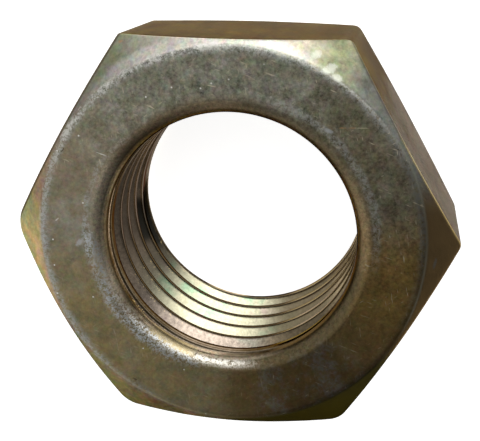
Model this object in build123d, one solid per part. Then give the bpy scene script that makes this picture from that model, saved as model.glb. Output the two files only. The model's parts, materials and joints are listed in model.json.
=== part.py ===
from build123d import *
import math
import os

os.makedirs("parts", exist_ok=True)

# A hexagon lock nut with a fine metric thread, cut from one piece of steel.
# Lengths are in millimetres and angles in degrees. The nut rests on its lower
# bearing face at Z = 0, its thread runs along Z, and two of its corners lie on X.

# Hexagon
across_flats = 17.0
nut_height = 8.0
corner_rounding = 0.35

# Corner chamfer, turned on both ends: the bearing face stops this far inside
# the flats, and the cone falls away from it by this angle.
bearing_face_inset = 0.25
chamfer_angle = 36.0
bearing_face_edge_rounding = 0.3

# Thread, M12 x 1.25, right-handed
thread_major_diameter = 12.0
thread_pitch = 1.25
flank_half_angle = 30.0
minor_diameter_tolerance = 0.193
groove_height_on_x = 0.305

# Mouth at both ends of the hole: a countersink that starts this far outside
# the drilled bore, with a large rolled edge
countersink_widening = 0.31
countersink_half_angle = 35.0
mouth_rounding = 0.65

# Sizes that follow from those above
apothem = across_flats / 2
corner_radius = apothem / math.cos(math.radians(30))
bearing_face_radius = apothem - bearing_face_inset
flank_slope = math.tan(math.radians(flank_half_angle))
thread_major_radius = thread_major_diameter / 2
sharp_thread_height = thread_pitch / (2 * flank_slope)
basic_thread_height = sharp_thread_height * 5 / 8
thread_minor_radius = thread_major_radius - basic_thread_height + minor_diameter_tolerance / 2
root_flat = thread_pitch / 8
countersink_radius = thread_minor_radius + countersink_widening


# The turned form of the forged blank: both chamfers, both bearing faces and a
# dish at each end that becomes the countersink once the bore is opened.
def turned_blank():
    rim_radius = corner_radius + 1.0
    chamfer_height = (rim_radius - bearing_face_radius) * math.tan(math.radians(chamfer_angle))
    dish_radius = thread_minor_radius - 0.5
    dish_depth = (countersink_radius - dish_radius) / math.tan(math.radians(countersink_half_angle))
    outline = [
        (0, dish_depth),
        (dish_radius, dish_depth),
        (countersink_radius, 0),
        (bearing_face_radius, 0),
        (rim_radius, chamfer_height),
        (rim_radius, nut_height - chamfer_height),
        (bearing_face_radius, nut_height),
        (countersink_radius, nut_height),
        (dish_radius, nut_height - dish_depth),
        (0, nut_height - dish_depth),
    ]
    roundings = [0, 0, mouth_rounding, bearing_face_edge_rounding, 0]
    section = make_face(FilletPolyline(outline, radius=roundings + roundings[::-1], close=True))
    return revolve(Plane.XZ * section, Axis.Z)


# The six flats, with the slightly rounded upright corners between them
def hexagon_prism():
    hexagon = RegularPolygon(apothem, 6, major_radius=False)
    hexagon = fillet(hexagon.vertices(), corner_rounding)
    return extrude(hexagon, nut_height)


# What the tap leaves open: the bore at the minor diameter and one helical groove
# that passes out through both ends. The bore is longer than the groove, so the
# groove ends inside it and leaves no loose corner.
def tapped_hole():
    run_out = 1.5 * thread_pitch
    turns_below = math.ceil((groove_height_on_x + run_out) / thread_pitch)
    groove_start = groove_height_on_x - turns_below * thread_pitch
    turns = math.ceil((nut_height + run_out - groove_start) / thread_pitch)
    groove_rise = turns * thread_pitch

    bore_overlap = 0.12 * thread_pitch
    inner_radius = thread_minor_radius - bore_overlap
    inner_half_width = root_flat / 2 + (thread_major_radius - inner_radius) * flank_slope
    groove_section = Polygon(
        (inner_radius, -inner_half_width),
        (thread_major_radius, -root_flat / 2),
        (thread_major_radius, root_flat / 2),
        (inner_radius, inner_half_width),
        align=None,
    )
    mean_radius = (inner_radius + thread_major_radius) / 2
    helix = Helix(thread_pitch, groove_rise, mean_radius, center=(0, 0, groove_start))
    groove = sweep(Plane.XZ * Pos(0, groove_start) * groove_section, path=helix, is_frenet=True)

    bore_length = groove_rise + 4 * thread_pitch
    bore = Pos(0, 0, groove_start + groove_rise / 2) * Cylinder(thread_minor_radius, bore_length)
    return bore + groove


lock_nut = turned_blank() & hexagon_prism()
lock_nut = lock_nut - tapped_hole()
export_step(lock_nut, "parts/lock_nut.step")

print(f"minor radius {thread_minor_radius:.3f}, volume {lock_nut.volume:.1f}, "
      f"faces {len(lock_nut.faces())}")
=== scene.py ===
import json
import math

import bpy
from mathutils import Matrix, Vector


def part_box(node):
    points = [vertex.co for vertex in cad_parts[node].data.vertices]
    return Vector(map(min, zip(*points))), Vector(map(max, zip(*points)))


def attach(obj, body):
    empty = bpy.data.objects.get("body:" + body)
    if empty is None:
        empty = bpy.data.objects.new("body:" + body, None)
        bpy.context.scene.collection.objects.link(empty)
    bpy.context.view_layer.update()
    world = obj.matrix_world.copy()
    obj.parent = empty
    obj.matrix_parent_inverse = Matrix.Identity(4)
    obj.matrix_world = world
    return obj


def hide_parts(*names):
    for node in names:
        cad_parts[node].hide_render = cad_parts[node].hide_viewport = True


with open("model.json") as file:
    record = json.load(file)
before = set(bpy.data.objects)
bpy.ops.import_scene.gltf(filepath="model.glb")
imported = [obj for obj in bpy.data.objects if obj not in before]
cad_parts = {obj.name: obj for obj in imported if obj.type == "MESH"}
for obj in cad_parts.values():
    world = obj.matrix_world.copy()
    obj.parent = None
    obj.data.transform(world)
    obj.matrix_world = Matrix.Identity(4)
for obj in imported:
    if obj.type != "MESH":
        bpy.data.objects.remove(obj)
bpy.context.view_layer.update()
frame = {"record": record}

mmPerMetre = 1000.0
threadMount = next(m for m in frame["record"]["mounts"] if m["name"] == "thread")
minorRadius = threadMount["dims"]["r_mm"] / mmPerMetre
print("frame loaded")


# Node helpers

# a value in a node tree that adds and multiplies like a plain number
class Field:
    def __init__(self, tree, socket):
        self.tree = tree
        self.socket = socket

    def apply(self, operation, *others):
        node = self.tree.nodes.new("ShaderNodeMath")
        node.operation = operation
        for place, value in enumerate((self,) + others):
            feed(value, node.inputs[place])
        return Field(self.tree, node.outputs[0])

    def __add__(self, other):
        return self.apply("ADD", other)

    def __sub__(self, other):
        return self.apply("SUBTRACT", other)

    def __mul__(self, other):
        return self.apply("MULTIPLY", other)

    def __truediv__(self, other):
        return self.apply("DIVIDE", other)

    def __neg__(self):
        return self.apply("MULTIPLY", -1.0)

    def __rsub__(self, other):
        return -self + other

    def __rtruediv__(self, other):
        return self.apply("POWER", -1.0) * other

    __radd__ = __add__
    __rmul__ = __mul__

    # 0 below low, 1 above high, smooth between
    def step(self, low, high, outLow=0.0, outHigh=1.0):
        node = self.tree.nodes.new("ShaderNodeMapRange")
        node.interpolation_type = "SMOOTHSTEP"
        for name, value in zip(("Value", "From Min", "From Max", "To Min", "To Max"),
                               (self, low, high, outLow, outHigh)):
            feed(value, node.inputs[name])
        return Field(self.tree, node.outputs["Result"])

    # 1 between two places, smooth over each of them
    def between(self, start, end):
        return self.step(*start) * self.step(*end, 1.0, 0.0)

    # 1 within a distance of a place, smooth out to a larger distance
    def near(self, place, full, none):
        return 1.0 - (self - place).apply("ABSOLUTE").step(full, none)


def feed(value, socket):
    if isinstance(value, Field):
        value.tree.links.new(value.socket, socket)
    elif value is not None:
        socket.default_value = value


def addNode(tree, kind, inputs=None, **settings):
    node = tree.nodes.new(kind)
    for name, value in settings.items():
        setattr(node, name, value)
    for name, value in (inputs or {}).items():
        feed(value, node.inputs[name])
    return node


def outOf(node, name=0):
    return Field(node.id_data, node.outputs[name])


def combine(tree, x, y, z):
    return outOf(addNode(tree, "ShaderNodeCombineXYZ", {"X": x, "Y": y, "Z": z}))


def separate(vector):
    node = addNode(vector.tree, "ShaderNodeSeparateXYZ", {"Vector": vector})
    return outOf(node, "X"), outOf(node, "Y"), outOf(node, "Z")


# one of several values, chosen by a whole number
def choose(tree, index, values, dataType):
    node = addNode(tree, "GeometryNodeIndexSwitch", data_type=dataType)
    while len(node.index_switch_items) < len(values):
        node.index_switch_items.new()
    feed(index, node.inputs["Index"])
    for place, value in enumerate(values):
        feed(value, node.inputs[place + 1])
    return outOf(node)


# The nut

nutSizes = {
    "bearing face inset": 0.25e-3,      # how far the round face stops inside the flats
    "chamfer angle": math.radians(36),
    "chamfer edge rounding": 0.14e-3,
    "face edge rounding": 0.5e-3,
    "major diameter": 12.0e-3,
    "pitch": 1.25e-3,
    "flank half angle": math.radians(30),
    "root flat": 0.34e-3,               # tapped a little wide, to leave room for the plating
    "crest rounding": 0.16e-3,
    "groove height on x": 0.305e-3,
    "last full groove": 1.15e-3,        # the groove runs out nearer to a face than this
    "run out": 0.35e-3,
    "mouth rounding": 0.65e-3,
    "row spacing": 0.25e-3,
    "forging waviness": 0.02e-3,
    "waviness size": 2.6e-3,
}
# worn round by different amounts, counter-clockwise from the corner on X
cornerRoundings = [0.4e-3, 0.45e-3, 0.15e-3, 1.25e-3, 0.9e-3, 0.8e-3]
nutDetail = {"stepsPerSide": 54, "cornerCrowding": 0.86, "arcSteps": 5, "rowsPerTurn": 20,
             "grooveTrace": 0.16, "weldDistance": 1e-6}


# a polyline with rounded corners, cut into short rows, that keeps what is stored on its corners
def roundedProfile(tree, corners, radii, arcSteps, spacing, stored):
    line = outOf(addNode(tree, "GeometryNodeMeshLine", {"Count": len(corners)}))
    curve = outOf(addNode(tree, "GeometryNodeMeshToCurve", {"Mesh": line}))
    index = outOf(addNode(tree, "GeometryNodeInputIndex"))
    places = [combine(tree, radius, 0.0, height) for radius, height in corners]
    curve = outOf(addNode(tree, "GeometryNodeSetPosition",
                          {"Geometry": curve,
                           "Position": choose(tree, index, places, "VECTOR")}))
    for name, values in stored.items():
        curve = outOf(addNode(tree, "GeometryNodeStoreNamedAttribute",
                              {"Geometry": curve, "Name": name,
                               "Value": choose(tree, index, values, "FLOAT")},
                              data_type="FLOAT", domain="POINT"))
    curve = outOf(addNode(tree, "GeometryNodeFilletCurve",
                          {"Curve": curve, "Count": arcSteps, "Limit Radius": True,
                           "Radius": choose(tree, index, radii, "FLOAT")}, mode="POLY"))
    position = outOf(addNode(tree, "GeometryNodeInputPosition"))
    following = addNode(tree, "GeometryNodeOffsetPointInCurve", {"Offset": 1})
    nextPosition = addNode(tree, "GeometryNodeFieldAtIndex", data_type="FLOAT_VECTOR",
                           domain="POINT")
    feed(outOf(following, "Point Index"), nextPosition.inputs["Index"])
    feed(position, nextPosition.inputs["Value"])
    gap = addNode(tree, "ShaderNodeVectorMath", {0: position, 1: outOf(nextPosition)},
                  operation="DISTANCE")
    cuts = (outOf(gap, "Value") / spacing).apply("FLOOR")
    return outOf(addNode(tree, "GeometryNodeSubdivideCurve", {"Curve": curve, "Cuts": cuts}))


def pointCount(curve):
    node = addNode(curve.tree, "GeometryNodeAttributeDomainSize", {"Geometry": curve},
                   component="CURVE")
    return outOf(node, "Point Count")


def sampleProfile(curve, index, attribute=None):
    tree = curve.tree
    if attribute:
        kind = "FLOAT"
        value = outOf(addNode(tree, "GeometryNodeInputNamedAttribute", {"Name": attribute},
                              data_type=kind))
    else:
        kind = "FLOAT_VECTOR"
        value = outOf(addNode(tree, "GeometryNodeInputPosition"))
    node = addNode(tree, "GeometryNodeSampleIndex", data_type=kind, domain="POINT")
    feed(curve, node.inputs["Geometry"])
    feed(value, node.inputs["Value"])
    feed(index, node.inputs["Index"])
    return outOf(node)


# a sheet of rows by angle steps that crowd together at the six corners: the sheet,
# and the row, the turn in sixths and the angle from the nearest corner at each point
def angleGrid(tree, rows):
    steps = 6 * nutDetail["stepsPerSide"]
    grid = outOf(addNode(tree, "GeometryNodeMeshGrid",
                         {"Size X": 1.0, "Size Y": 1.0, "Vertices X": steps + 1,
                          "Vertices Y": rows}), "Mesh")
    across, along, _ = separate(outOf(addNode(tree, "GeometryNodeInputPosition")))
    column = ((across + 0.5) * steps).apply("ROUND")
    row = ((along + 0.5) * (rows - 1)).apply("ROUND")
    side = (column / nutDetail["stepsPerSide"]).apply("FLOOR")
    share = column / nutDetail["stepsPerSide"] - side
    crowded = share - (share * math.tau).apply("SINE") * (nutDetail["cornerCrowding"] / math.tau)
    fromCorner = crowded.apply("MINIMUM", 1.0 - crowded) * (math.pi / 3)
    return grid, row, side + crowded, fromCorner


def placeOnAxis(geometry, radius, sixths, height):
    tree = geometry.tree
    angle = sixths * (math.pi / 3)
    place = combine(tree, radius * angle.apply("COSINE"), radius * angle.apply("SINE"), height)
    return outOf(addNode(tree, "GeometryNodeSetPosition",
                         {"Geometry": geometry, "Position": place}))


# the faces, chamfers and flats, drawn once for the widest place and drawn in to the flats
def makeShell(tree, size):
    apothem = size["across flats"] / 2
    height = size["height"]
    faceRadius = apothem - size["bearing face inset"]
    chamferSlope = size["chamfer angle"].apply("TANGENT")
    mouthRadius = size["minor diameter"] / 2 + size["mouth rounding"]
    outerRadius = apothem / math.cos(math.pi / 6)
    chamferDrop = (outerRadius - faceRadius) * chamferSlope
    lower = [(mouthRadius, 0.0), (faceRadius, 0.0), (outerRadius, chamferDrop)]
    upper = [(radius, height - place) for radius, place in reversed(lower)]
    radii = [0.0, size["face edge rounding"], size["chamfer edge rounding"]]
    outline = roundedProfile(tree, lower + upper, radii + radii[::-1], nutDetail["arcSteps"],
                             size["row spacing"],
                             {"drawIn": [0.0, 0.0, 1.0, 1.0, 0.0, 0.0],
                              "end": [-1.0, -1.0, -1.0, 1.0, 1.0, 1.0]})

    grid, row, sixths, fromCorner = angleGrid(tree, pointCount(outline))
    nearest = (sixths + 0.5).apply("FLOOR").apply("MODULO", 6.0)
    rounding = choose(tree, nearest, cornerRoundings, "FLOAT")
    roundCentre = (apothem - rounding) / math.cos(math.pi / 6)
    roundReach = (rounding * 0.5).apply("ARCTAN2", roundCentre + rounding * math.cos(math.pi / 6))
    onFlat = apothem / (math.pi / 6 - fromCorner).apply("COSINE")
    swing = roundCentre * fromCorner.apply("SINE")
    inside = (rounding * rounding - swing * swing).apply("MAXIMUM", 0.0)
    onRound = roundCentre * fromCorner.apply("COSINE") + inside.apply("SQRT")
    hexRadius = onFlat + (onRound - onFlat) * fromCorner.apply("LESS_THAN", roundReach)

    pull = sampleProfile(outline, row, "drawIn") * (hexRadius - outerRadius)
    radius, _, place = separate(sampleProfile(outline, row))
    rise = pull * chamferSlope * sampleProfile(outline, row, "end")
    return placeOnAxis(grid, radius + pull, sixths, place - rise)


# the wall of the hole, in rows that climb with the thread, from one rolled mouth to the other
def makeThread(tree, size):
    height = size["height"]
    pitch = size["pitch"]
    minorRadius = size["minor diameter"] / 2
    mouth = size["mouth rounding"]
    straight = height / 2 - mouth
    reach = straight + mouth * (math.pi / 2)
    crestAboveMiddle = size["groove height on x"] + pitch / 2 - height / 2
    turns = ((reach * 2) / pitch).apply("CEIL") + 2.0
    perTurn = nutDetail["rowsPerTurn"]

    grid, row, sixths, _ = angleGrid(tree, turns * perTurn + 1)
    first = crestAboveMiddle - pitch * ((reach + crestAboveMiddle) / pitch + 1.0).apply("CEIL")
    climb = first + pitch * (row / perTurn + sixths / 6)
    kept = climb.apply("MAXIMUM", -reach).apply("MINIMUM", reach)

    # the wall before it is tapped: straight, then a quarter round out to each face
    upper = kept.apply("SIGN")
    distance = kept.apply("ABSOLUTE")
    bend = (distance - straight).apply("MAXIMUM", 0.0) / mouth
    wallRadius = minorRadius + mouth * (1.0 - bend.apply("COSINE"))
    wallHeight = distance.apply("MINIMUM", straight) + mouth * bend.apply("SINE")

    # the groove, which runs out as it comes near to a face and leaves a trace beyond
    turn = row / perTurn
    fromGroove = (turn - turn.apply("FLOOR") - 0.5) * pitch
    grooveHeight = (climb - fromGroove).apply("ABSOLUTE")
    lastFull = height / 2 - size["last full groove"]
    left = grooveHeight.step(lastFull, lastFull + size["run out"], 1.0, 0.0)
    trace = grooveHeight.step(lastFull, height / 2, nutDetail["grooveTrace"], 0.0)
    left = left.apply("MAXIMUM", trace)
    flank = (fromGroove.apply("ABSOLUTE") - size["root flat"] / 2).apply("MAXIMUM", 0.0)
    fullDepth = size["major diameter"] / 2 - minorRadius
    cut = fullDepth * left - flank / size["flank half angle"].apply("TANGENT")
    cut = cut.apply("SMOOTH_MAX", 0.0, size["crest rounding"])
    radius = wallRadius.apply("MAXIMUM", minorRadius + cut)
    thread = placeOnAxis(grid, radius, sixths, height / 2 + upper * wallHeight)
    return outOf(addNode(tree, "GeometryNodeFlipFaces", {"Mesh": thread}))


def makeNutTree(material):
    tree = bpy.data.node_groups.new("lockNutTree", "GeometryNodeTree")
    names = ["across flats", "height", "minor diameter"] + list(nutSizes)
    for name in names:
        tree.interface.new_socket(name, in_out="INPUT", socket_type="NodeSocketFloat")
    tree.interface.new_socket("Geometry", in_out="OUTPUT", socket_type="NodeSocketGeometry")
    entry = tree.nodes.new("NodeGroupInput")
    size = {name: outOf(entry, name) for name in names}

    joined = addNode(tree, "GeometryNodeJoinGeometry")
    feed(makeShell(tree, size), joined.inputs[0])
    feed(makeThread(tree, size), joined.inputs[0])
    mesh = outOf(addNode(tree, "GeometryNodeMergeByDistance",
                         {"Geometry": outOf(joined), "Distance": nutDetail["weldDistance"]}))

    # no forged face is quite flat
    noise = addNode(tree, "ShaderNodeTexNoise", {"Scale": 1.0, "Detail": 2.0, "W": 4.0},
                    noise_dimensions="4D")
    position = outOf(addNode(tree, "GeometryNodeInputPosition"))
    scaled = addNode(tree, "ShaderNodeVectorMath", {0: position}, operation="SCALE")
    feed(1.0 / size["waviness size"], scaled.inputs["Scale"])
    feed(outOf(scaled), noise.inputs["Vector"])
    push = addNode(tree, "ShaderNodeVectorMath",
                   {0: outOf(addNode(tree, "GeometryNodeInputNormal"))}, operation="SCALE")
    feed((outOf(noise) - 0.5) * size["forging waviness"], push.inputs["Scale"])
    mesh = outOf(addNode(tree, "GeometryNodeSetPosition",
                         {"Geometry": mesh, "Offset": outOf(push)}))

    mesh = outOf(addNode(tree, "GeometryNodeSetShadeSmooth", {"Geometry": mesh}))
    mesh = outOf(addNode(tree, "GeometryNodeRealizeInstances", {"Geometry": mesh}))
    mesh = outOf(addNode(tree, "GeometryNodeSetMaterial", {"Geometry": mesh, "Material": material}))
    feed(mesh, tree.nodes.new("NodeGroupOutput").inputs["Geometry"])
    return tree


# runs a tree on an empty object and keeps only the plain mesh
def bakeTree(tree, name, sizes):
    holder = bpy.data.objects.new(name, bpy.data.meshes.new(name))
    bpy.context.scene.collection.objects.link(holder)
    modifier = holder.modifiers.new(name, "NODES")
    modifier.node_group = tree
    sockets = {item.name: item.identifier for item in tree.interface.items_tree
               if item.in_out == "INPUT"}
    for key, value in sizes.items():
        modifier[sockets[key]] = value
    evaluated = holder.evaluated_get(bpy.context.evaluated_depsgraph_get())
    mesh = bpy.data.meshes.new_from_object(evaluated)
    mesh.materials.pop(index=0)         # the empty slot of the bare grids
    holder.modifiers.remove(modifier)
    holder.data = mesh
    return holder


def makeNut(material):
    low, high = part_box("lock_nut")
    sizes = dict(nutSizes)
    sizes["across flats"] = high.y - low.y
    sizes["height"] = high.z - low.z
    sizes["minor diameter"] = minorRadius * 2
    nut = bakeTree(makeNutTree(material), "hexagon_nut", sizes)
    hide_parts("lock_nut")
    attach(nut, "root")
    return nut


# Finish

# base colours of the passivated zinc by surface, some of them painted highlight and shade
platingColours = {
    "face": (0.29, 0.245, 0.165), "faceOlive": (0.32, 0.25, 0.12), "faceCool": (0.26, 0.25, 0.19),
    "faceShadeRight": (0.195, 0.17, 0.11), "faceWarm": (0.25, 0.165, 0.055),
    "faceBrown": (0.18, 0.123, 0.05), "faceGreen": (0.17, 0.18, 0.11),
    "faceGrey": (0.34, 0.33, 0.28), "haze": (0.52, 0.54, 0.54), "dimHaze": (0.18, 0.18, 0.165),
    "bright": (0.85, 0.83, 0.76), "cream": (0.66, 0.58, 0.42), "rust": (0.46, 0.28, 0.14),
    "pit": (0.05, 0.03, 0.015),
    "flat": (0.225, 0.175, 0.09), "flatPale": (0.29, 0.25, 0.205), "flatSpeck": (0.07, 0.05, 0.04),
    "chamferGold": (0.47, 0.36, 0.18), "chamferPink": (0.46, 0.33, 0.24),
    "chamferGreen": (0.34, 0.36, 0.21), "chamferHighlightCream": (0.62, 0.58, 0.46),
    "chamferGrey": (0.37, 0.37, 0.29), "chamferMauve": (0.37, 0.32, 0.27),
    "edgeGold": (0.55, 0.42, 0.18), "edgeDark": (0.10, 0.08, 0.055),
    "chamferShade": (0.235, 0.24, 0.205), "blotchHighlight": (0.66, 0.68, 0.58),
    "chamferShadeLowRight": (0.075, 0.067, 0.035), "chamferShadeRight": (0.20, 0.135, 0.065),
    "threadCream": (0.59, 0.56, 0.39), "threadGreen": (0.37, 0.54, 0.35),
    "threadPink": (0.58, 0.43, 0.39), "threadTan": (0.255, 0.20, 0.12),
    "threadBrown": (0.50, 0.39, 0.28), "threadPaintedDark": (0.035, 0.035, 0.028),
    "crest": (0.12, 0.088, 0.05), "crestHighlight": (0.58, 0.47, 0.41), "crestLeft": (0.21, 0.17, 0.14),
    "crestRight": (0.36, 0.29, 0.18), "crestGold": (0.95, 0.70, 0.30),
    "wallOlive": (0.20, 0.165, 0.12), "wallShade": (0.08, 0.06, 0.036),
    "wallPink": (0.45, 0.36, 0.27), "wallTan": (0.30, 0.24, 0.15),
    "mouthDark": (0.15, 0.115, 0.065), "mouthLeft": (0.50, 0.43, 0.31),
    "mouthTan": (0.26, 0.185, 0.095), "mouthLow": (0.115, 0.09, 0.048),
    "mouthPink": (0.70, 0.57, 0.41), "mouthBack": (0.20, 0.15, 0.09), "mouthGold": (0.60, 0.49, 0.27),
}
# where each look lies: its azimuth, counter-clockwise from the corner on X, and within how many
# degrees of it the look is full and beyond how many it is gone
platingSides = {
    "scratches": (65, 60, 110),
    "faceOlive": (236, 20, 58), "faceCool": (80, 30, 80), "faceShadeRight": (22, 15, 50),
    "evenRight": (22, 25, 50), "evenLow": (246, 30, 60), "faceWarm": (335, 14, 40),
    "faceBlue": (299, 12, 22), "faceBrown": (299, 4, 44), "brownMiddle": (301, 8, 18),
    "faceCoarse": (60, 50, 110), "rimHazy": (15, 25, 45), "rimBare": (305, 35, 60),
    "whiteDots": (170, 50, 120),
    "hazeOut": (200, 8, 22), "hazeFarOut": (160, 8, 28), "hazeWide": (216, 25, 46),
    "hazeLow": (218, 30, 46), "hazeLeft": (160, 15, 32), "hazeRing": (35, 25, 50),
    "mouthBack": (128, 30, 46), "mouthSwell": (132, 36, 56), "mouthLeft": (178, 14, 40),
    "mouthInner": (172, 36, 48), "mouthTan": (2, 12, 34), "mouthLow": (315, 25, 45),
    "mouthPink": (256, 16, 44), "paintedHighlightLow": (261, 8, 25), "paintedHighlightLeft": (232, 8, 22),
    "mouthGold": (243, 6, 14), "mouthLine": (148, 18, 34), "lipGap": (256, 5, 14),
    "lipLeft": (190, 40, 60), "lipRight": (324, 26, 38),
    "flatPale": (15, 20, 40), "flatSpeck": (18, 24, 40),
    "chamferCool": (115, 25, 50), "chamferHighlightCream": (84, 14, 36), "chamferGreen": (54, 6, 16),
    "chamferShade": (33, 15, 27), "chamferUneven": (54, 12, 24), "highlightWide": (100, 20, 40),
    "chamferHighlight": (98, 22, 44), "chamferDull": (240, 25, 45), "chamferShadeLeft": (147, 18, 34),
    "chamferShadeLow": (258, 8, 24), "chamferShadeRight": (350, 18, 34), "brimGrey": (5, 20, 36),
    "brimShade": (69, 24, 36), "brimLight": (332, 16, 32), "chamferShadeLowRight": (298, 22, 36),
    "brinkGold": (5, 22, 32),
    "wallPink": (258, 6, 22), "wallFarRight": (342, 10, 26), "wallTan": (328, 26, 40),
    "wallShadeLeft": (170, 24, 45), "wallShadeTop": (200, 45, 60), "wallShadeLine": (250, 25, 40),
    "threadHighlight": (267, 14, 38), "threadFarRight": (343, 14, 30), "threadTan": (318, 26, 42),
    "threadBrown": (172, 25, 52), "threadShade": (206, 6, 28), "threadShadeRight": (325, 25, 38),
    "threadPaintedDark": (195, 13, 20), "paintedDarkHigh": (193, 8, 14), "threadShadeLeft": (163, 18, 34),
    "crestGold": (228, 14, 26), "crestLeft": (165, 18, 36), "crestRight": (326, 26, 40),
    "crestHighlight": (315, 11, 18),
    "wornAndHighlitTop": (118, 20, 40), "wornLess": (62, 26, 40), "unworn": (300, 40, 75),
    "dimHaze": (320, 50, 110), "mouthNarrow": (120, 35, 55), "rubbedAndHighlitBright": (105, 45, 80),
    "chamferShadeLowRightSmooth": (302, 30, 52), "mouthRough": (236, 30, 62),
}
# sizes of the noises in millimetres, how rough each surface is, its relief and its marks
platingFinish = {
    "cloud": 2.4, "mottle": 0.75, "grain": 0.15, "fine": 0.06,
    "faceRough": 0.34, "flatRough": 0.36, "chamferRough": 0.36, "threadRough": 0.24,
    "bump": 0.5, "bumpDepth": 0.02, "markRagged": 5.0, "markStrength": 0.65,
}
# where one zone gives way to the next: radii, heights and distances in millimetres, and for
# "flat" and "face" how level the surface lies
platingZones = {
    "outside": (7.6, 7.7), "flat": (0.25, 0.6), "face": (0.88, 0.97), "corner": (9.55, 9.7),
    "hole": (6.0, 6.1), "holeEnd": (3.3, 3.42), "middle": 4.0, "upperSide": (5.8, 6.2),
    "lip": (5.45, 5.5), "innerRoll": (5.5, 5.62), "mouthToFace": (5.62, 6.36),
    "rim": (7.85, 8.15), "brim": (8.28, 8.4), "wall": (0.038, 0.062), "besideCrest": (0.09, 0.13),
}
# size, seed, stretch and turn of the scratches, one row for each way they run
scratchRuns = [(0.09, 31.0, 0.14, 20.0), (0.08, 32.0, 0.18, -35.0), (0.08, 33.0, 0.16, 80.0)]
# marks on the upper side: azimuth and radius, direction, length and width, colour
marks = [
    ((147, 6.46), -18, 0.42, 0.05, "bright"), ((150, 6.35), -75, 0.30, 0.05, "cream"),
    ((47, 6.91), 2, 0.30, 0.06, "rust"), ((45, 7.17), 2, 0.30, 0.06, "rust"),
    ((43, 7.45), 2, 0.50, 0.04, "cream"), ((255, 5.60), 30, 0.16, 0.08, "pit"),
    ((120, 9.45), 20, 0.22, 0.10, "rust"), ((176, 7.53), 40, 0.20, 0.06, "bright"),
    ((153, 8.0), 60, 0.25, 0.06, "pit"), ((238, 7.95), -30, 0.20, 0.10, "pit"),
    # the blotch marks on the upper-right chamfer are painted highlight, a broken one
    ((96, 6.62), -10, 0.35, 0.05, "cream"), ((61, 8.48), 20, 0.60, 0.34, "blotchHighlight"),
    ((58, 8.33), -30, 0.44, 0.28, "blotchHighlight"), ((66, 8.7), 10, 0.40, 0.30, "blotchHighlight"),
    ((184, 6.55), 50, 0.44, 0.22, "haze"), ((50, 6.42), -20, 0.36, 0.18, "haze"),
    ((356, 8.7), 80, 0.5, 0.12, "dimHaze"),
]


def mixColour(share, under, over):
    tree = share.tree
    node = addNode(tree, "ShaderNodeMix", data_type="RGBA")
    sockets = {socket.identifier: socket for socket in node.inputs}
    feed(share, sockets["Factor_Float"])
    for value, name in ((under, "A_Color"), (over, "B_Color")):
        feed(value if isinstance(value, Field) else (*value, 1.0), sockets[name])
    return Field(tree, [out for out in node.outputs if out.identifier == "Result_Color"][0])


def noiseAt(vector, size, seed, detail=3.0, sharpness=0.55, stretch=(1.0, 1.0, 1.0), turn=0.0):
    tree = vector.tree
    turned = addNode(tree, "ShaderNodeVectorRotate", {"Vector": vector, "Angle": math.radians(turn)},
                     rotation_type="Z_AXIS")
    scaled = addNode(tree, "ShaderNodeVectorMath", {0: outOf(turned)}, operation="MULTIPLY")
    scaled.inputs[1].default_value = stretch
    return addNode(tree, "ShaderNodeTexNoise",
                   {"Vector": outOf(scaled), "W": seed, "Scale": 1.0 / size, "Detail": detail,
                    "Roughness": sharpness}, noise_dimensions="4D")


def cloud(vector, size, seed, *shape):
    return outOf(noiseAt(vector, size, seed, *shape), "Fac")


# the same noise in each primary by itself, to shift a colour a little as the film does
def tinge(colour, vector, size, seed, amount):
    tree = vector.tree
    noise = outOf(noiseAt(vector, size, seed, 3.0, 0.6), "Color")
    swing = addNode(tree, "ShaderNodeVectorMath", {0: noise}, operation="MULTIPLY_ADD")
    swing.inputs[1].default_value = (2.0 * amount,) * 3
    swing.inputs[2].default_value = (1.0 - amount,) * 3
    return outOf(addNode(tree, "ShaderNodeVectorMath", {0: colour, 1: outOf(swing)},
                         operation="MULTIPLY"))


def dim(colour, factor):
    tree = colour.tree if isinstance(colour, Field) else factor.tree
    node = addNode(tree, "ShaderNodeVectorMath", {0: colour}, operation="SCALE")
    feed(factor, node.inputs["Scale"])
    return outOf(node)


# colours one after the other along a value, as the colours of a thin film are
def film(value, stops):
    node = addNode(value.tree, "ShaderNodeValToRGB")
    ramp = node.color_ramp
    while len(ramp.elements) < len(stops):
        ramp.elements.new(0.5)
    for element, (place, name) in zip(ramp.elements, stops):
        element.position = place
        element.color = (*platingColours[name], 1.0)
    feed(value, node.inputs["Fac"])
    return outOf(node, "Color")


# dots strewn over x and y: one in each cell, of which a share is kept
def dots(vector, spacing, radius, share):
    node = addNode(vector.tree, "ShaderNodeTexVoronoi",
                   {"Vector": vector, "Scale": 1.0 / spacing}, voronoi_dimensions="2D")
    pick, _, _ = separate(outOf(node, "Color"))
    near = outOf(node, "Distance").step(radius / spacing * 0.6, radius / spacing, 1.0, 0.0)
    return near * pick.apply("LESS_THAN", share)


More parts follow.
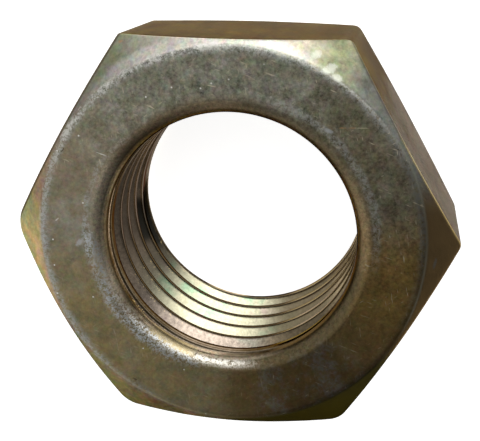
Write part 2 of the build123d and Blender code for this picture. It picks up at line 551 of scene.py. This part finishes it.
# a place on the nut in millimetres, which surface it is on, and the noises that all of them share
class Spot:
    def __init__(self, tree, crestRadius):
        look, zones = platingFinish, platingZones
        inMetres = outOf(addNode(tree, "ShaderNodeTexCoord"), "Object")
        scaled = addNode(tree, "ShaderNodeVectorMath", {0: inMetres}, operation="SCALE")
        scaled.inputs["Scale"].default_value = mmPerMetre
        self.place = place = outOf(scaled)
        self.x, self.y, self.z = separate(place)
        self.radius = (self.x * self.x + self.y * self.y).apply("SQRT")
        normal = separate(outOf(addNode(tree, "ShaderNodeNewGeometry"), "Normal"))
        self.level = normal[2].apply("ABSOLUTE")
        self.aboveMiddle = self.z - zones["middle"]

        outside = self.radius.step(*zones["outside"])
        self.onFlat = (1.0 - self.level.step(*zones["flat"])) * outside
        self.onFace = 1.0 - (1.0 - self.level.step(*zones["face"])) * outside
        self.onChamfer = 1.0 - self.onFlat - self.onFace
        self.nearCorner = self.radius.step(*zones["corner"])
        inHole = 1.0 - self.radius.step(*zones["hole"])
        atEnd = self.aboveMiddle.apply("ABSOLUTE").step(*zones["holeEnd"])
        self.inThread = inHole * (1.0 - atEnd)

        # heights above the nearest crest, and above the crest that starts lowest
        pitch = nutSizes["pitch"] * mmPerMetre
        turn = self.y.apply("ARCTAN2", self.x) / math.tau
        climb = self.z - nutSizes["groove height on x"] * mmPerMetre - pitch / 2
        self.aboveCrest = (climb - turn * pitch).apply("WRAP", pitch / 2, -pitch / 2)
        self.aboveStart = climb - turn.apply("WRAP", 1.0, 0.0) * pitch
        self.offCrest = self.radius - crestRadius

        self.clouds = cloud(place, look["cloud"], 1.0)
        self.clouds2 = cloud(place, look["cloud"], 7.0)
        self.mottle = cloud(place, look["mottle"], 2.0, 5.0, 0.6)
        self.mottle2 = cloud(place, look["mottle"], 12.0, 4.0, 0.6)
        self.grain = cloud(place, look["grain"], 3.0, 4.0, 0.65)
        self.fine = cloud(place, look["fine"], 4.0, 2.0, 0.7)
        self.speckle = (self.grain + self.fine) * 0.5

    # 1 on the side where a look lies, 0 well off it
    def towards(self, name):
        azimuth, full, none = platingSides[name]
        return (self.along(azimuth) / self.radius).step(math.cos(math.radians(none)),
                                                        math.cos(math.radians(full)))

    # how far out towards an azimuth
    def along(self, azimuth):
        a = math.radians(azimuth)
        return self.x * math.cos(a) + self.y * math.sin(a)


# short bright scratches that cross one another
def scratches(spot):
    first, *others = [cloud(spot.place, size, seed, 1.0, 0.5, (stretch, 1.0, 1.0), turn)
                      for size, seed, stretch, turn in scratchRuns]
    marked = first
    for other in others:
        marked = marked.apply("MAXIMUM", other)
    marked = marked.step(0.66, 0.78) * spot.mottle2.step(0.40, 0.52)
    return marked * (0.35 + spot.towards("scratches") * 0.65)


# face: olive on one side, cooler at the top, darker on the right as painted shade, and brown low on
# the right
def faceFinish(spot, hazeColour):
    hue, look, towards = platingColours, platingFinish, spot.towards
    face = mixColour(towards("faceOlive"), hue["face"], hue["faceOlive"])
    face = mixColour(towards("faceCool"), face, hue["faceCool"])
    face = mixColour(towards("faceShadeRight"), face, hue["faceShadeRight"])
    face = mixColour(spot.mottle.step(0.44, 0.64) * 0.5, face, hue["faceGreen"])
    pale = spot.clouds2.step(0.46, 0.64) * spot.mottle2.step(0.4, 0.6)
    pale = pale * (1.0 - towards("evenRight") * 0.6) * (1.0 - towards("evenLow") * 0.7)
    face = mixColour(pale * 0.5, face, hue["faceGrey"])
    face = mixColour(towards("faceWarm"), face, hue["faceWarm"])
    blue = spot.mottle2.step(0.42, 0.58) * towards("faceBlue")
    blue = blue * (0.25 + spot.grain.step(0.4, 0.6) * 0.4)
    brown = mixColour(blue, hue["faceBrown"], hue["dimHaze"])
    brownSide = (towards("faceBrown") + (spot.clouds - 0.5) * 0.4).step(0.15, 0.95)
    face = mixColour(brownSide, face, dim(brown, 1.0 - towards("brownMiddle") * 0.25))
    coarse = 0.45 + towards("faceCoarse") * 0.75
    face = dim(face, 1.0 + ((spot.grain - 0.5) * 1.9 + (spot.mottle2 - 0.5) * 1.2) * coarse)
    face = tinge(face, spot.place, look["grain"] * 1.6, 21.0, 0.28)

    rim = (spot.radius + (spot.mottle - 0.5) * 0.5).step(*platingZones["rim"])
    rim = rim * spot.speckle.step(0.36, 0.6)
    rimShare = 0.5 + towards("rimHazy") * 0.3 - towards("rimBare") * 0.42
    face = mixColour(rim * rimShare, face, hazeColour)
    white = dots(spot.place, 1.3, 0.045, 0.5) * towards("whiteDots")
    return mixColour(white, face, hue["bright"])


# pale haze that winds off from the mouth on the left, and a fainter ring on the right; the band low on
# the left is partly a pale brushed patch and partly painted highlight that carries the mouth's
# highlight further out
def mouthHazeAndHighlight(spot):
    towards, radius = spot.towards, spot.radius
    middle = 5.95 + towards("hazeOut") * 0.06 + towards("hazeFarOut") * 0.36
    middle = middle + (spot.mottle - 0.5) * 0.4
    off = (radius - middle).apply("ABSOLUTE") / (0.13 + towards("hazeWide") * 0.2)
    band = (1.0 - off.step(0.5, 1.4)) * spot.speckle.step(0.44, 0.56)
    band = band * (towards("hazeLow") * 0.95 + towards("hazeLeft") * 0.4)
    band = band * (0.45 + spot.mottle2.step(0.4, 0.56) * 0.65)
    ring = (radius - (spot.mottle - 0.5) * 0.4).near(6.3, 0.08, 0.25)
    return band + ring * spot.speckle.step(0.4, 0.6) * towards("hazeRing") * 0.4


# rolled mouth: dark, with a narrow painted highlight low on the left
def mouthFinish(spot):
    hue, look, towards, radius = platingColours, platingFinish, spot.towards, spot.radius
    swell = radius.between((5.62, 5.9), (5.94, 6.06))
    mouth = mixColour(towards("mouthBack"), hue["mouthDark"], hue["mouthBack"])
    mouth = dim(mouth, 1.0 + swell * towards("mouthSwell") * 1.5)
    mouth = mixColour(towards("mouthLeft"), mouth, dim(hue["mouthLeft"], 1.0 + swell * 0.5))
    mouth = dim(mouth, 1.0 + radius.step(5.6, 5.68, 1.0, 0.0) * towards("mouthInner") * 0.6)
    mouth = mixColour(towards("mouthTan"), mouth, hue["mouthTan"])
    mouth = mixColour(towards("mouthLow"), mouth, hue["mouthLow"])
    inner = 1.0 - (radius + (spot.mottle - 0.5) * 0.1).step(*platingZones["innerRoll"])
    mouth = mixColour(inner * towards("mouthPink"), mouth, hue["mouthPink"])
    mouth = dim(mouth, 1.0 + (spot.grain - 0.5) * 1.7 + (spot.fine - 0.5) * 1.3)
    mouth = tinge(mouth, spot.place, look["grain"], 23.0, 0.25)
    ragged = radius + (spot.mottle - 0.5) * 0.3 + (spot.grain - 0.5) * 0.15
    # painted highlight on the roll, speckled
    paintedHighlight = ragged.between((5.52, 5.68), (5.82, 6.02))
    paintedHighlight = paintedHighlight * (towards("paintedHighlightLow") * 0.7 + towards("paintedHighlightLeft") * 0.1)
    mouth = mixColour(paintedHighlight * (0.15 + spot.speckle.step(0.42, 0.56) * 0.95), mouth, hue["bright"])
    gold = towards("mouthGold") * (1.0 - radius.step(5.66, 5.8)) * spot.mottle.step(0.3, 0.5)
    mouth = mixColour(gold * 0.8, mouth, hue["mouthGold"])
    # painted shade: a thin dark line along the inner part of the roll on the left
    line = radius.near(5.63, 0.015, 0.05)
    mouth = mixColour(line * towards("mouthLine") * 0.5, mouth, hue["wallShade"])
    # painted shade: the inner edge of the roll, where it turns into the hole, is darkened, less so on
    # the left and lower right and not at all low in the middle
    lip = (1.0 - radius.step(*platingZones["lip"])) * (1.0 - towards("lipGap"))
    lipShade = 0.4 + towards("lipLeft") * 1.1 + towards("lipRight") * 2.4
    return mixColour(lip, mouth, dim(hue["wallShade"], lipShade))


# flats: brown, faintly drawn along the axis, paler and specked on the right
def flatFinish(spot):
    hue, look, towards = platingColours, platingFinish, spot.towards
    flat = mixColour((towards("flatPale") * 0.8 + (spot.clouds - 0.5)).step(0.3, 0.8),
                     hue["flat"], hue["flatPale"])
    drawn = cloud(spot.place, 0.5, 41.0, 4.0, 0.65, (1.0, 1.0, 0.1)) - 0.5
    flat = dim(flat, 1.0 + (spot.grain - 0.5) * 1.2 + (spot.mottle - 0.5) * 0.8 + drawn * 0.45)
    flat = dim(flat, 1.0 + (spot.clouds - 0.5) * 0.6)
    specks = (spot.grain * 0.7 + spot.fine * 0.3).step(0.51, 0.59) * towards("flatSpeck")
    flat = mixColour(specks * 0.75, flat, hue["flatSpeck"])
    flat = mixColour(spot.nearCorner * spot.speckle.step(0.4, 0.6) * 0.5, flat, hue["flatPale"])
    return tinge(flat, spot.place, look["grain"] * 2.0, 22.0, 0.25)


# chamfers: bands of film colour along the edge of the face, with painted highlight at the top and
# painted shade on the left, low down and on the right
def chamferFinish(spot):
    hue, look, towards, radius = platingColours, platingFinish, spot.towards, spot.radius
    bands = (radius - 8.2) * 0.3 + (spot.mottle - 0.5) * 1.2 + (spot.clouds2 - 0.5) * 0.9 + 0.3
    chamfer = film(bands, [(0.0, "chamferGold"), (0.2, "chamferPink"), (0.5, "chamferGold"),
                           (0.8, "chamferGreen"), (0.95, "chamferGold"), (1.0, "chamferPink")])
    cool = film(bands, [(0.0, "chamferGrey"), (0.25, "chamferMauve"), (0.5, "chamferGrey"),
                        (0.7, "chamferGreen"), (0.85, "chamferGrey"), (1.0, "chamferMauve")])
    chamfer = mixColour(towards("chamferCool"), chamfer, cool)
    # painted highlight: the chamfer turns cream at the top
    chamfer = mixColour(towards("chamferHighlightCream") * 0.8, chamfer, hue["chamferHighlightCream"])
    green = towards("chamferGreen") * (spot.mottle * 0.7 + spot.grain * 0.3).step(0.36, 0.5)
    chamfer = mixColour(green * 0.9, chamfer, hue["chamferGreen"])
    chamfer = mixColour(towards("chamferShade"), chamfer, hue["chamferShade"])
    chamfer = dim(chamfer, 1.0 - towards("chamferUneven") * (0.6 - spot.mottle2) * 1.2)
    # painted highlight: a pale band on the chamfer along the face edge at the top
    pale = (radius - 8.2 - towards("highlightWide") * 0.35 + (spot.mottle2 - 0.5) * 0.6)
    pale = (1.0 - pale.step(0.0, 0.35)) * towards("chamferHighlight")
    chamfer = mixColour(pale * 0.6, chamfer, hue["bright"])
    dull = dim(mixColour(spot.mottle2, cool, chamfer), 0.56)
    chamfer = mixColour(towards("chamferDull"), chamfer, dull)
    chamfer = dim(chamfer, 1.0 + (spot.grain - 0.5) * 1.1 + (spot.mottle2 - 0.5) * 0.6)
    chamfer = tinge(chamfer, spot.place, look["grain"] * 2.0, 24.0, 0.3)
    # painted shade: dimmer on the left and low down
    chamfer = dim(chamfer, 1.0 - towards("chamferShadeLeft") * 0.38 - towards("chamferShadeLow") * 0.3)
    # painted shade: dark brown on the right
    chamfer = mixColour(towards("chamferShadeRight"), chamfer, hue["chamferShadeRight"])
    # painted light and shade on the chamfer next to the face edge: greyer and lighter on the right and
    # lower right, darker at the top
    brim = 1.0 - radius.step(*platingZones["brim"])
    chamfer = mixColour(brim * towards("brimGrey") * 0.6, chamfer, hue["chamferGrey"])
    chamfer = dim(chamfer, 1.0 - brim * (towards("brimShade") * 0.5 - towards("brimLight") * 0.7))
    # painted shade: nearly black low on the right
    chamfer = mixColour(towards("chamferShadeLowRight"), chamfer, hue["chamferShadeLowRight"])
    brink = spot.along(150).step(8.36, 8.42)
    chamfer = mixColour(brink * 0.8, chamfer, hue["edgeDark"])
    brinkColour = mixColour(towards("brinkGold"), hue["edgeDark"], hue["edgeGold"])
    return mixColour(spot.along(30).step(8.40, 8.45) * 0.6, chamfer, brinkColour)


# the plain wall of the hole between the last crest and the mouth, with painted shade: darker near the
# mouth on the left, and a dark line where the groove runs out
def wallFinish(spot, fromCrest):
    hue, towards = platingColours, spot.towards
    wall = mixColour(towards("wallPink"), hue["wallOlive"], hue["wallPink"])
    lowerRight = dim(hue["wallTan"], 0.16 + towards("wallFarRight") * 0.34)
    wall = mixColour(towards("wallTan"), wall, lowerRight)
    # painted shade: darker near the mouth on the left
    wall = dim(wall, 1.0 - towards("wallShadeLeft") * spot.z.step(6.95, 7.15) * 0.45)
    wall = dim(wall, 1.0 - towards("wallShadeTop") * spot.z.step(7.2, 7.3) * 0.8)
    # painted shade: a thin dark line where the last groove runs out
    line = fromCrest.near(0.26, 0.02, 0.06)
    wall = mixColour(line * towards("wallShadeLine") * 0.7, wall, hue["crest"])
    return dim(wall, 1.0 + (spot.grain - 0.5) * 1.4)


# thread: cream flanks with green and pink film, brown on one side, with its crests drawn out; lighter
# and darker by azimuth as painted highlight and shade
def threadFinish(spot):
    hue, zones, towards = platingColours, platingZones, spot.towards
    value = (cloud(spot.place, 1.5, 9.0, 2.0) - 0.5) * 1.9 + 0.5
    thread = film(value, [(0.1, "threadPink"), (0.35, "threadCream"), (0.55, "threadCream"),
                          (0.75, "threadGreen"), (0.95, "threadPink")])
    nearest = spot.aboveStart.step(3.72, 3.8)
    thread = mixColour(nearest * 0.6, thread, hue["threadPink"])
    # painted highlight: the flanks low in the hole are made about twice as light as on the other sides
    thread = dim(thread, (0.52 + towards("threadHighlight") * 0.5) * (1.0 - nearest * 0.3))
    # painted light: on the far right the tan flanks are lifted against the shade in their roots
    farRight = towards("threadFarRight")
    thread = mixColour(towards("threadTan") * 0.9, thread, dim(hue["threadTan"], 1.0 + farRight * 1.2))
    thread = mixColour(towards("threadBrown"), thread, hue["threadBrown"])
    thread = dim(thread, 1.0 + (spot.grain - 0.5) * (1.0 + nearest))
    # painted shade: the flanks are dimmed low on the left, and the first flank near the mouth on the
    # right
    thread = dim(thread, 1.0 - towards("threadShade") * (0.52 + (1.0 - spot.z.step(2.6, 3.2)) * 0.12))
    thread = dim(thread, 1.0 - towards("threadShadeRight") * spot.aboveStart.step(3.72, 3.85) * 0.45)
    # painted shade: low on the left the deep threads are dimmed and blacked, standing in for the dark
    # they reflect there
    low = 1.0 - (spot.z + (spot.mottle - 0.5) * 0.6).step(1.5, 1.8)
    paintedDark = towards("threadPaintedDark") * low
    paintedDark = paintedDark.apply("MAXIMUM", towards("paintedDarkHigh") * (1.0 - spot.z.step(2.4, 2.9)))
    thread = dim(thread, 1.0 - towards("threadShadeLeft") * low * 0.6)
    thread = mixColour(paintedDark * 0.92, thread, hue["threadPaintedDark"])

    onWall = 1.0 - (spot.offCrest + (spot.fine - 0.5) * 0.03).step(*zones["wall"])
    fromCrest = spot.aboveCrest.apply("ABSOLUTE")
    besideCrest = fromCrest.step(*zones["besideCrest"])
    gilt = (1.0 - spot.offCrest.step(0.1, 0.16)) * spot.speckle.step(0.56, 0.62)
    thread = mixColour(gilt * towards("crestGold") * 0.8, thread, hue["crestGold"])
    # painted shade: the crests are coloured dark brown, lighter on the left and right, to draw the
    # shaded lines between the flanks; the pale lit crests on the lower right are painted highlight
    crest = mixColour(towards("crestLeft"), hue["crest"], hue["crestLeft"])
    crest = mixColour(towards("crestRight"), crest, dim(hue["crestRight"], 1.0 - farRight * 0.5))
    lit = spot.aboveStart.between((2.0, 2.2), (4.2, 4.4))
    lit = lit * spot.aboveCrest.step(0.0, 0.03, 1.0, 0.0)
    crest = mixColour(lit * towards("crestHighlight"), crest, hue["crestHighlight"])
    onCrest = onWall * (1.0 - besideCrest) * (1.0 - paintedDark * 0.6)
    thread = mixColour(onCrest, thread, crest)
    plain = onWall * besideCrest * spot.aboveMiddle.step(0.0, 1.0)
    return mixColour(plain, thread, wallFinish(spot, fromCrest))


# the rounded edge between face and chamfer, rubbed bare in places, and wider and brighter at the top
# as painted highlight
def wornAndHighlitEdge(spot):
    towards, radius = spot.towards, spot.radius
    edge = radius.between((7.98, 8.12), (8.3, 8.5)) * spot.level.step(0.8, 0.86)
    edge = edge * (spot.speckle + (spot.mottle - 0.5) * 0.8).step(0.44, 0.64)
    share = 0.35 + towards("wornAndHighlitTop") * 0.3 - towards("wornLess") * 0.25
    return edge * share * (1.0 - towards("unworn") * 0.85)


# the listed marks, ragged ovals that lie on the upper side only
def addMarks(spot, colour):
    look = platingFinish
    strength = spot.z.step(*platingZones["upperSide"]) * look["markStrength"]
    for (azimuth, distance), turn, length, width, name in marks:
        a, t = math.radians(azimuth), math.radians(turn)
        east, north = spot.x - distance * math.cos(a), spot.y - distance * math.sin(a)
        ahead = (east * math.cos(t) + north * math.sin(t)) / (length / 2)
        aside = (north * math.cos(t) - east * math.sin(t)) / (width / 2)
        fromMark = ahead * ahead + aside * aside + (spot.speckle - 0.5) * look["markRagged"]
        colour = mixColour((1.0 - fromMark.step(0.2, 1.6)) * strength, colour, platingColours[name])
    return colour


def makePlating(crestRadius):
    material = bpy.data.materials.new("yellowZincPlating")
    material.use_nodes = True
    tree = material.node_tree
    shader = tree.nodes["Principled BSDF"]
    hue, look = platingColours, platingFinish
    spot = Spot(tree, crestRadius)
    towards, radius = spot.towards, spot.radius

    hazeColour = mixColour(towards("dimHaze"), hue["haze"], hue["dimHaze"])
    streaks = scratches(spot)
    face = mixColour(streaks * 0.75, faceFinish(spot, hazeColour), hue["cream"])
    intoFace = radius + (spot.mottle - 0.5) * 0.3 - towards("mouthNarrow") * 0.08
    face = mixColour(intoFace.step(*platingZones["mouthToFace"]), mouthFinish(spot), face)
    face = mixColour(mouthHazeAndHighlight(spot), face, hue["haze"])
    wornAndHighlit = wornAndHighlitEdge(spot)
    # partly wear, partly painted highlight: the bare edge turns bright at the top
    rubbedAndHighlit = mixColour(towards("rubbedAndHighlitBright"), hazeColour, hue["bright"])
    face = mixColour(wornAndHighlit, face, rubbedAndHighlit)
    chamfer = mixColour(wornAndHighlit, chamferFinish(spot), rubbedAndHighlit)

    colour = mixColour(spot.onChamfer, face, chamfer)
    colour = mixColour(spot.onFlat, colour, flatFinish(spot))
    colour = mixColour(spot.inThread, colour, threadFinish(spot))
    colour = addMarks(spot, colour)
    feed(colour, shader.inputs["Base Color"])
    feed(colour, shader.inputs["Specular Tint"])
    shader.inputs["Metallic"].default_value = 1.0

    rough = look["faceRough"] + (spot.mottle - 0.5) * 0.2
    rough = rough + spot.onFlat * (look["flatRough"] - look["faceRough"])
    rough = rough + spot.onChamfer * (look["chamferRough"] - look["faceRough"])
    rough = rough + spot.inThread * (look["threadRough"] - look["faceRough"])
    feed(rough, shader.inputs["Roughness"])

    nearHole = 1.0 - radius.step(6.1, 6.7)
    smooth = spot.inThread * 0.7 + towards("chamferShadeLowRightSmooth") * spot.onChamfer * 0.4
    rise = spot.grain * (0.5 + nearHole * 0.4 - smooth)
    rise = rise + spot.fine * (0.1 + nearHole * (1.0 - spot.inThread) * towards("mouthRough") * 0.6)
    rise = rise + spot.mottle * 0.5 - streaks * 0.2
    bump = addNode(tree, "ShaderNodeBump", {"Strength": look["bump"], "Height": rise})
    bump.inputs["Distance"].default_value = look["bumpDepth"] / mmPerMetre
    feed(outOf(bump), shader.inputs["Normal"])
    return material


# Stage, light and camera

# the floor: its size in metres, and the glow that lifts what is seen of it to white
stageLook = {"floorColour": (0.8, 0.8, 0.8), "floorSize": 3.0, "lift": 0.86}
# the room as the metal mirrors it: how bright it is all round, where it is darker and where a
# soft window lights it. Each place has its azimuth and elevation, how far its edge and its full
# strength lie from there in degrees, and what it adds.
roomLook = {
    "plain": 0.7,
    "darkCorner": ((325, 12), 68, 28, -0.62),
    "darkCeiling": ((300, 42), 50, 30, -0.62),
    "window": ((79, 45), 33, 6, 2.0),
}
# fitted to the photo: lengths in metres, the lens and its film in millimetres
cameraPlace = {
    "at": (6.894e-3, 13.008e-3, 46.363e-3),
    "towards": (-0.1416, -0.2515, -0.9574),
    "up": (-0.0467, 0.9678, -0.2473),
    "lens": 72.6, "sensor": 36.0,
    "shift": (-0.0354, -0.0948), "clip": (0.001, 10.0),
}


def direction(azimuth, elevation):
    a, e = math.radians(azimuth), math.radians(elevation)
    return Vector((math.cos(a) * math.cos(e), math.sin(a) * math.cos(e), math.sin(e)))


# a pale floor that keeps the shadow; what is seen of it, also in the metal, is lifted to white
def makeFloor():
    material = bpy.data.materials.new("paleFloor")
    material.use_nodes = True
    tree = material.node_tree
    matt = addNode(tree, "ShaderNodeBsdfDiffuse", {"Color": (*stageLook["floorColour"], 1.0)})
    path = addNode(tree, "ShaderNodeLightPath")
    seen = outOf(path, "Is Camera Ray").apply("MAXIMUM", outOf(path, "Is Glossy Ray"))
    seen = seen.apply("MAXIMUM", outOf(path, "Is Transmission Ray"))
    glow = addNode(tree, "ShaderNodeEmission", {"Strength": seen * stageLook["lift"]})
    both = addNode(tree, "ShaderNodeAddShader", {0: outOf(matt), 1: outOf(glow)})
    feed(outOf(both), tree.nodes["Material Output"].inputs["Surface"])
    bpy.ops.mesh.primitive_plane_add(size=stageLook["floorSize"])
    floor = bpy.context.object
    floor.name = "floor"
    floor.data.materials.append(material)


def makeRoom():
    world = bpy.data.worlds.new("room")
    bpy.context.scene.world = world
    world.use_nodes = True
    tree = world.node_tree
    background = tree.nodes["Background"]
    background.inputs["Color"].default_value = (1.0, 1.0, 1.0, 1.0)
    skyward = outOf(addNode(tree, "ShaderNodeTexCoord"), "Generated")

    def patch(towards, edge, full, adds):
        facing = addNode(tree, "ShaderNodeVectorMath", {0: skyward, 1: direction(*towards)},
                         operation="DOT_PRODUCT")
        return outOf(facing, "Value").step(math.cos(math.radians(edge)),
                                           math.cos(math.radians(full)), 0.0, adds)

    dark = patch(*roomLook["darkCorner"]).apply("MINIMUM", patch(*roomLook["darkCeiling"]))
    light = dark + patch(*roomLook["window"]) + roomLook["plain"]
    feed(light, background.inputs["Strength"])


def makeCamera():
    data = bpy.data.cameras.new("photoCamera")
    data.lens = cameraPlace["lens"]
    data.sensor_width = cameraPlace["sensor"]
    data.shift_x, data.shift_y = cameraPlace["shift"]
    data.clip_start, data.clip_end = cameraPlace["clip"]
    camera = bpy.data.objects.new("photoCamera", data)
    bpy.context.scene.collection.objects.link(camera)
    back = -Vector(cameraPlace["towards"]).normalized()
    right = Vector(cameraPlace["up"]).cross(back).normalized()
    up = back.cross(right)
    turn = Matrix((right, up, back)).transposed().to_4x4()
    camera.matrix_world = Matrix.Translation(cameraPlace["at"]) @ turn
    bpy.context.scene.camera = camera


plating = makePlating(minorRadius * mmPerMetre)
nut = makeNut(plating)
print("nut made,", len(nut.data.polygons), "faces")
makeFloor()
makeRoom()
makeCamera()
bpy.context.scene.view_settings.view_transform = "Standard"
print("stage, light and camera set")
